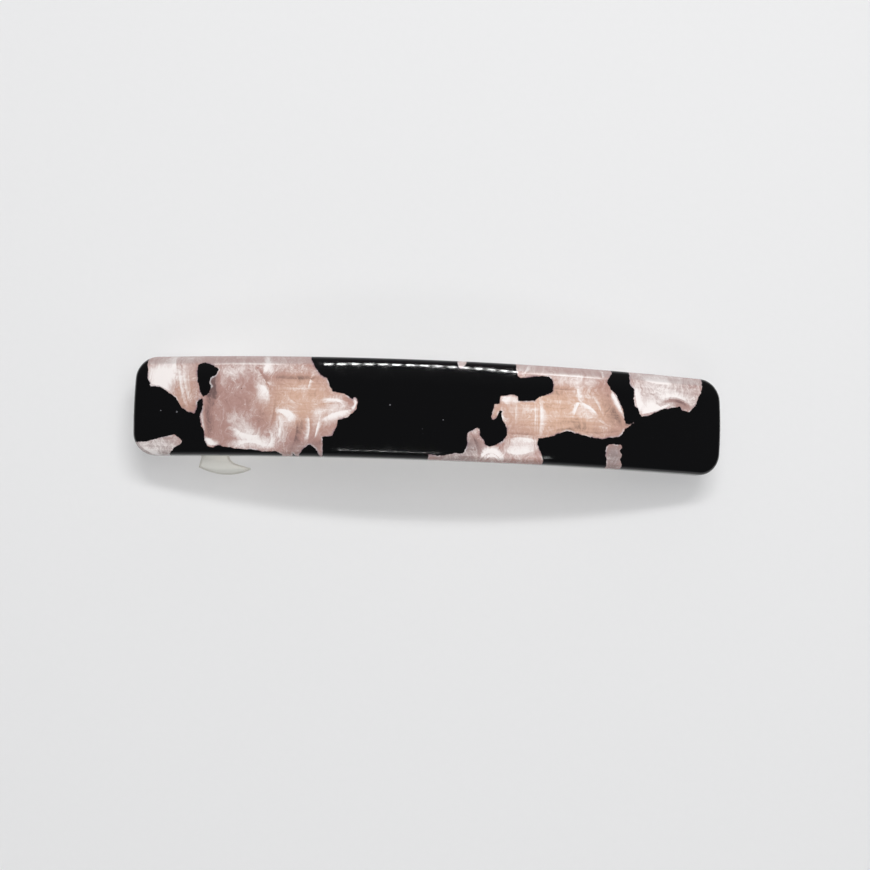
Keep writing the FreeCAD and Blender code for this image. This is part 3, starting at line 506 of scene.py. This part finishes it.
def dressed(node, edge, facet=34):
    """A copy of a solid with its facets joined and its edges sharper than an angle rounded by a bevel."""
    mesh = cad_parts[node].data.copy()
    mesh.materials.clear()
    work = bmesh.new()
    work.from_mesh(mesh)
    bmesh.ops.remove_doubles(work, verts=work.verts, dist=2e-6)
    bmesh.ops.dissolve_limit(work, angle_limit=math.radians(0.4), verts=work.verts, edges=work.edges)
    for f in work.faces:
        f.smooth = True
    work.to_mesh(mesh)
    work.free()
    piece = bpy.data.objects.new(node + "_piece", mesh)
    bpy.context.collection.objects.link(piece)
    bevel = piece.modifiers.new("rounded edges", "BEVEL")
    bevel.width, bevel.segments, bevel.limit_method = edge, 2, "ANGLE"
    bevel.angle_limit = math.radians(facet)
    bevel.harden_normals = True
    return piece


# Edges where the surface turns sharply are darkened: worn thin plating on most pieces, painted shade along the
# catch's rim.
nodes, given, result = new_group("edge_wear_and_shade", [("Width", "NodeSocketFloat")],
                                 [("Darkening", "NodeSocketFloat")])
bevel = nodes.add("ShaderNodeBevel", {"samples": 4}, Radius=given.outputs["Width"])
here = nodes.add("ShaderNodeNewGeometry")
turned = nodes.add("ShaderNodeVectorMath", {"operation": "DOT_PRODUCT"},
                   i0=bevel.outputs[0], i1=here.outputs["Normal"])
nodes.tree.links.new(nodes.ramp(turned.outputs["Value"], 0.995, 0.9), result.inputs["Darkening"])
edge_wear_and_shade = nodes.tree


def plated_steel(name, colour, roughness, grain_way, grain, metal=1.0, tarnish=0.62,
                 rim=0.12 * MM, rim_wear_and_shade=0.35):
    """Nickel plate over drawn strip: long fine grain along the strip, finger marks, and dull edges.

    Streaks and clouds darken the colour towards its tarnished share. The rim is the width of the darkened edge
    band: worn plating on most pieces, painted shade along the catch's rim.
    """
    material, nodes = new_material(name)
    where = nodes.add("ShaderNodeTexCoord").outputs["Object"]
    in_mm = nodes.add("ShaderNodeVectorMath", {"operation": "SCALE"}, i0=where, Scale=1000.0).outputs[0]
    marks = nodes.add("ShaderNodeGroup", {"node_tree": handling_marks}, Place=in_mm, Fineness=grain)
    streak = nodes.noise(nodes.stretch(in_mm, grain_way), 1.0, 6, 0.65)
    cloudy = nodes.noise(in_mm, 0.28, 3, 0.6)
    edge_darkening = nodes.add("ShaderNodeGroup", {"node_tree": edge_wear_and_shade}, Width=rim).outputs["Darkening"]
    dull = tuple(tarnish * c for c in colour)
    shade = nodes.mix(nodes.math("MULTIPLY", nodes.ramp(streak, 0.35, 0.75), 0.35), colour, dull)
    shade = nodes.mix(nodes.math("MULTIPLY", nodes.ramp(cloudy, 0.5, 0.8), 0.3), shade, dull)
    # Darkened edges: worn plating on most pieces, painted shade along the catch's rim.
    shade = nodes.mix(nodes.math("MULTIPLY", edge_darkening, rim_wear_and_shade), shade, (0.5, 0.46, 0.4))
    rough = nodes.math("MULTIPLY_ADD", marks.outputs["Smudge"], 0.12, roughness)
    rough = nodes.math("MULTIPLY_ADD", streak, 0.12, rough)
    height = nodes.math("MULTIPLY_ADD", marks.outputs["Hairline"], 0.5, streak)
    relief = nodes.add("ShaderNodeBump", None, Strength=0.25, Distance=0.00001, Height=height)
    shader = nodes.add("ShaderNodeBsdfPrincipled", None, Base_Color=shade, Metallic=metal, Roughness=rough,
                       Normal=relief.outputs[0])
    finish_material(nodes, shader)
    return material


nickel = plated_steel("nickel_plate", (0.74, 0.71, 0.65), 0.24, (0.5, 9.0, 9.0), 0.5)
bar = dressed("base_bar", 0.07 * MM)
bar.data.materials.append(nickel)
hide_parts("base_bar")
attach(bar, "clip_base")

lever = dressed("locking_lever", 0.07 * MM)
lever.data.materials.append(nickel)
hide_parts("locking_lever")
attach(lever, "lever")

# --- The catch ----------------------------------------------------------------------------
# One piece of springy strip riveted under the bar: a saddle, and a finger folded down at each
# side with its hook and its wing. Its colour is near white, matt and barely metallic: a painted
# reflection of the bright room that the plated metal mirrors. Its wide dark edge band is painted
# shade along the rim.
# Painted reflection in the near-white, barely metallic colour; painted shade in the wide, full-strength edge
# band.
satin_nickel_painted_light = plated_steel("satin_nickel_painted_light", (0.97, 0.96, 0.90), 0.45, (3.0, 6.0, 3.0), 0.8,
                            metal=0.08, tarnish=0.9, rim=0.6 * MM, rim_wear_and_shade=1.0)
for node, body in (("catch_saddle", "clip_base"), ("catch_finger_rear", "rear_finger"),
                   ("catch_finger_front", "front_finger")):
    piece = dressed(node, 0.05 * MM)
    piece.data.materials.append(satin_nickel_painted_light)
    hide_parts(node)
    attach(piece, body)

# --- The bow spring -----------------------------------------------------------------------
# Tempered strip, sheared and bent, left with its straw-grey temper colour.
temper = plated_steel("tempered_strip", (0.50, 0.48, 0.45), 0.3, (0.4, 7.0, 7.0), 0.9)
bow = dressed("bow_spring", 0.04 * MM)
bow.data.materials.append(temper)
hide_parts("bow_spring")
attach(bow, "clip_base")

# --- The pins -----------------------------------------------------------------------------
# Turned from bright wire. The hinge pin and the rivet are peened, the other two pressed in warm.
bright = plated_steel("bright_wire", (0.66, 0.645, 0.61), 0.22, (4.0, 4.0, 4.0), 0.7)
for node in ("hinge_pin", "catch_rivet", "mounting_pin_hinge_end", "mounting_pin_catch_end"):
    piece = dressed(node, 0.04 * MM, facet=40)
    piece.data.materials.append(bright)
    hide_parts(node)
    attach(piece, "clip_base")

# --- The table ----------------------------------------------------------------------------
# A plain pale table top, with the faintest grain.
bpy.ops.mesh.primitive_plane_add(size=6, location=(0, 0, 0))
table = bpy.context.object
table.name = "table_top"
surface, nodes = new_material("pale_table")
where = nodes.add("ShaderNodeTexCoord").outputs["Object"]
grain = nodes.noise(where, 900.0, 3, 0.6)
tint = nodes.mix(nodes.math("MULTIPLY", grain, 0.25), (0.80, 0.80, 0.805), (0.74, 0.74, 0.745))
relief = nodes.add("ShaderNodeBump", None, Strength=0.1, Distance=0.0001, Height=grain)
finish_material(nodes, nodes.add("ShaderNodeBsdfPrincipled", None, Base_Color=tint, Roughness=0.55,
                                 Normal=relief.outputs[0]))
table.data.materials.append(surface)

# --- Light --------------------------------------------------------------------------------
# A dim room with brighter low walls, and two rows of small lamps that draw broken lines on the
# gloss. Soft panels light the table and aren't mirrored: three throw shadows, one only fills them.
world = bpy.data.worlds.new("room")
bpy.context.scene.world = world
world.use_nodes = True
nodes = Nodes(world.node_tree)
way = nodes.add("ShaderNodeSeparateXYZ", None, Vector=nodes.add("ShaderNodeTexCoord").outputs["Generated"])
sideways = nodes.math("MULTIPLY", nodes.math("POWER", way.outputs[0], 2.0), 0.35)
lean = nodes.math("SQRT", nodes.math("MULTIPLY_ADD", way.outputs[1], way.outputs[1], sideways))
low_walls = nodes.ramp(lean, 0.8, 0.97, 0.10, 0.42)
rear_wall = nodes.ramp(way.outputs[1], 0.3, 0.5, 0.0, 0.09)
background = world.node_tree.nodes["Background"]
background.inputs["Color"].default_value = (0.97, 0.985, 1.0, 1)
world.node_tree.links.new(nodes.math("ADD", low_walls, rear_wall), background.inputs["Strength"])


def lamp(name, towards, lean, distance, size, watts, shift=0.0, mirrored=False, casts=True):
    """An oblong lamp that faces the barrette from a compass angle and leans off the vertical.

    Compass 0 is the rear and 90 the hinge end. The shift is along the barrette, and size is the
    lamp's length and width.
    """
    light = bpy.data.lights.new(name, "AREA")
    light.shape, light.energy = "RECTANGLE", watts
    light.size, light.size_y = size
    holder = bpy.data.objects.new(name, light)
    compass, turn = math.radians(towards), math.radians(lean)
    level = distance * math.sin(turn)
    holder.location = (shift + level * math.sin(compass), level * math.cos(compass), distance * math.cos(turn))
    holder.rotation_euler = (-turn, 0, -compass)
    light.use_shadow = casts
    holder.visible_glossy = mirrored
    bpy.context.collection.objects.link(holder)


lamp("rear_panel", 0, 27, 0.62, (0.36, 0.08), 1.0, shift=0.03)
lamp("front_panel", 180, 40, 0.62, (0.36, 0.10), 0.20, shift=0.03)
lamp("overhead_panel", 30, 13, 0.8, (0.6, 0.5), 1.1)
lamp("fill_panel", 30, 13, 0.8, (0.6, 0.5), 3.65, casts=False)
lamp_stations = [-0.15 + 0.0259 * i for i in range(18)]
for i in range(15):
    lamp(f"rear_lamp_{i}", 0, 27, 0.617, (0.015, 0.003), 0.017, lamp_stations[i], mirrored=True)
for i in (1, 2, 3, 4, 5, 6, 7, 8, 16, 17):
    lamp(f"front_lamp_{i}", 180, 12.5, 0.617, (0.010, 0.0016), 0.008, lamp_stations[i], mirrored=True)

# --- Camera -------------------------------------------------------------------------------
# Held over the barrette, a little in front of it and towards the catch end.
camera_data = bpy.data.cameras.new("camera")
camera_data.lens, camera_data.sensor_width = 82.4, 36
camera_data.clip_start, camera_data.clip_end = 0.01, 20
camera = bpy.data.objects.new("camera", camera_data)
camera.location = (-0.02716, plate_middle - 0.03909, plate_top + 0.28223)
camera.rotation_mode = "ZYX"
camera.rotation_euler = (math.radians(7.12), math.radians(-5.41), math.radians(2.18))
bpy.context.collection.objects.link(camera)
bpy.context.scene.camera = camera
bpy.context.scene.view_settings.view_transform = "Standard"
